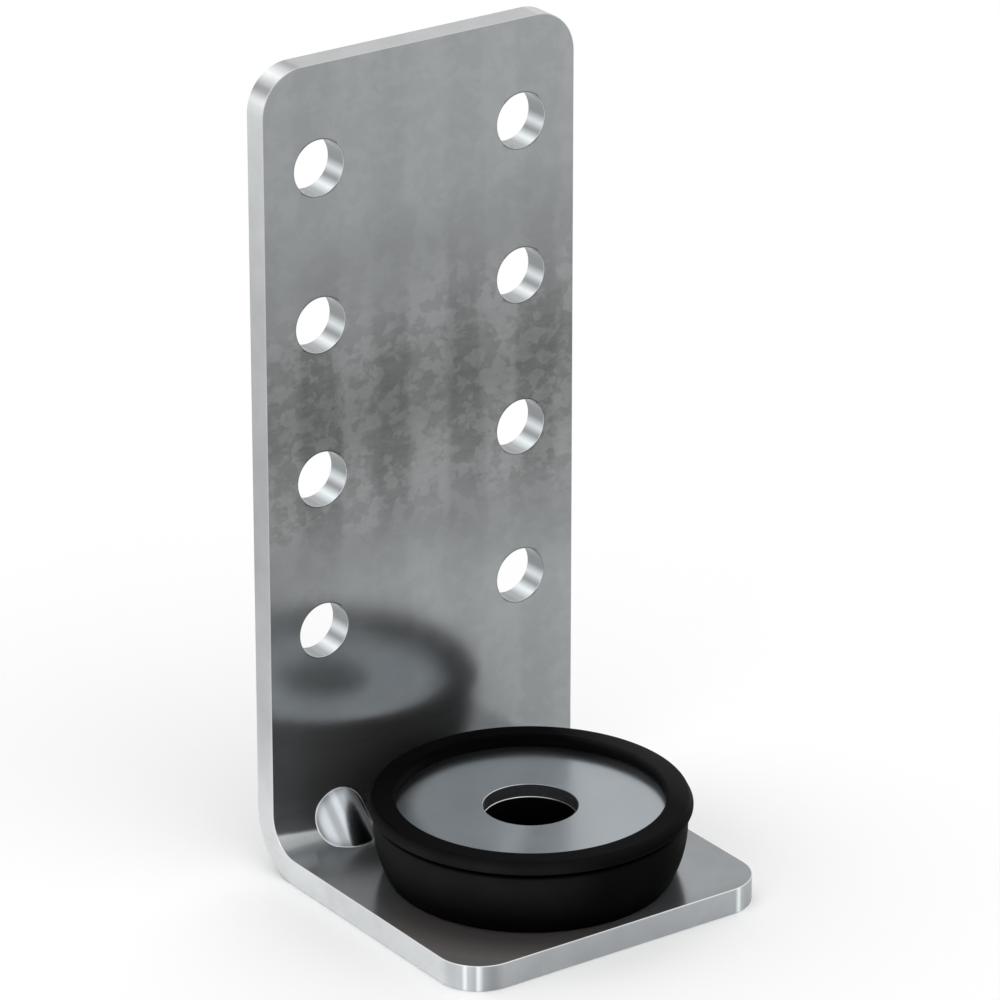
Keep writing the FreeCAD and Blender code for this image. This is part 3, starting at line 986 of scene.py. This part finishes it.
# Painted highlights on the bore's arris and break.
bore_highlight = combine(
    plating, "MAXIMUM",
    combine(plating, "MULTIPLY", bore["X"], spread(plating, ring["X"], (-1, 3), (0.8, 0))),
    combine(plating, "MULTIPLY", bore["Z"], spread(plating, ring["Y"], (1.5, 5), (0, 0.9))),
)
plating_tone = blend_colours(plating, bore_highlight, plating_tone, BORE_HIGHLIGHT)
feed(plating, plating_tone, plating_shader.inputs["Base Color"])
plating_roughness = spread(plating, plating_clouds, NOISE_SPAN, (0.18, 0.26))
feed(plating, plating_roughness, plating_shader.inputs["Roughness"])

washer = make_piece("steel_washer", washer_points, washer_normals, washer_faces, {
    "bore_mark": np.tile(bore_mark, (TURN_STEPS, 1)),
})
washer.data.materials.append(plating)
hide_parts("washer")
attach(washer, "root")


# Floor, light and camera
# The floor is plain white paper. A white room and three softboxes give plain, soft light, and the
# camera stands at the photograph's viewing angle.

WHITE = (1, 1, 1, 1)
PAPER = (0.95, 0.95, 0.95, 1)
PAPER_GLOW_SEEN = 0.055
FLOOR_HALF = 3.0
FLOOR_DROP = 0.02 * MM

floor_mesh = bpy.data.meshes.new("studio floor")
floor_corners = [
    (-FLOOR_HALF, -FLOOR_HALF, 0), (FLOOR_HALF, -FLOOR_HALF, 0),
    (FLOOR_HALF, FLOOR_HALF, 0), (-FLOOR_HALF, FLOOR_HALF, 0),
]
floor_mesh.from_pydata(floor_corners, [], [(0, 1, 2, 3)])
floor = bpy.data.objects.new("studio_floor", floor_mesh)
floor.location.z = -FLOOR_DROP
bpy.context.scene.collection.objects.link(floor)
paper, paper_shader = new_finish("white studio paper", Roughness=0.9, Specular_IOR_Level=0.0)
paper_shader.inputs["Base Color"].default_value = PAPER
paper_shader.inputs["Emission Color"].default_value = WHITE
seen_by_camera = add_node(paper, "ShaderNodeLightPath").outputs["Is Camera Ray"]
glow = combine(paper, "MULTIPLY", seen_by_camera, PAPER_GLOW_SEEN)
feed(paper, glow, paper_shader.inputs["Emission Strength"])
floor_mesh.materials.append(paper)

# The world lights the object a little less than the white that the camera and mirrors see.
SEEN_STRENGTH = 1.0
LIGHTING_STRENGTH = 0.95

world = bpy.data.worlds.new("studio")
bpy.context.scene.world = world
world.use_nodes = True
seen = world.node_tree.nodes["Background"]
seen.inputs["Color"].default_value = WHITE
seen.inputs["Strength"].default_value = SEEN_STRENGTH
lighting = add_node(world, "ShaderNodeBackground", {"Color": WHITE, "Strength": LIGHTING_STRENGTH})
path = add_node(world, "ShaderNodeLightPath").outputs
is_seen = combine(
    world, "MAXIMUM", path["Is Camera Ray"], path["Is Glossy Ray"], path["Is Transmission Ray"],
)
surroundings = add_node(world, "ShaderNodeMixShader", {
    0: is_seen, 1: lighting.outputs["Background"], 2: seen.outputs["Background"],
})
feed(world, surroundings.outputs["Shader"], world.node_tree.nodes["World Output"].inputs["Surface"])

# One softbox stands at the left, one high in front and one low at the right. The bright core and
# the dark rim of each are given as shares of its side.
LAMP_AIM = (0, 0, 0.02)
LAMP_CORE = 0.2
LAMP_RIM = 0.5


def softbox(name, place, size, watts):
    """A square soft light that stands at place and looks at the object. Its brightness falls off
    smoothly from a circle round its middle to a circle that touches its sides."""
    lamp = bpy.data.lights.new(name, "AREA")
    lamp.size = size
    lamp.energy = watts
    lamp.use_nodes = True
    spot = add_node(lamp, "ShaderNodeNewGeometry").outputs["Parametric"]
    from_middle = add_node(lamp, "ShaderNodeVectorMath", {
        0: spot, 1: (0.5, 0.5, 0),
    }, operation="DISTANCE").outputs["Value"]
    falloff = spread(lamp, from_middle, (LAMP_CORE, LAMP_RIM), (1, 0), smooth=True)
    feed(lamp, falloff, lamp.node_tree.nodes["Emission"].inputs["Strength"])
    box = bpy.data.objects.new(name, lamp)
    box.location = place
    box.rotation_euler = (Vector(LAMP_AIM) - Vector(place)).to_track_quat("-Z", "Y").to_euler()
    box.visible_camera = False
    bpy.context.scene.collection.objects.link(box)


softbox("key softbox", place=(-0.81, -0.19, 0.60), size=0.95, watts=2.0)
softbox("top softbox", place=(0.04, -0.50, 0.88), size=0.60, watts=0.8)
softbox("fill softbox", place=(0.53, -0.75, 0.42), size=0.80, watts=0.8)

# The camera was fitted to the strip's edges, the hole rims and the foot's outline.
CAMERA_PLACE = Vector((-0.35722, -0.50163, 0.30584))
CAMERA_AIM = Vector((0.016175, 0.028705, 0.032600))
CAMERA_LENS = 227.47
CAMERA_SENSOR = 36.0

camera_data = bpy.data.cameras.new("photo camera")
camera_data.lens = CAMERA_LENS
camera_data.sensor_width = CAMERA_SENSOR
camera = bpy.data.objects.new("photo camera", camera_data)
camera.location = CAMERA_PLACE
camera.rotation_euler = (CAMERA_AIM - CAMERA_PLACE).to_track_quat("-Z", "Y").to_euler()
bpy.context.scene.collection.objects.link(camera)
bpy.context.scene.camera = camera
bpy.context.scene.view_settings.view_transform = "Standard"
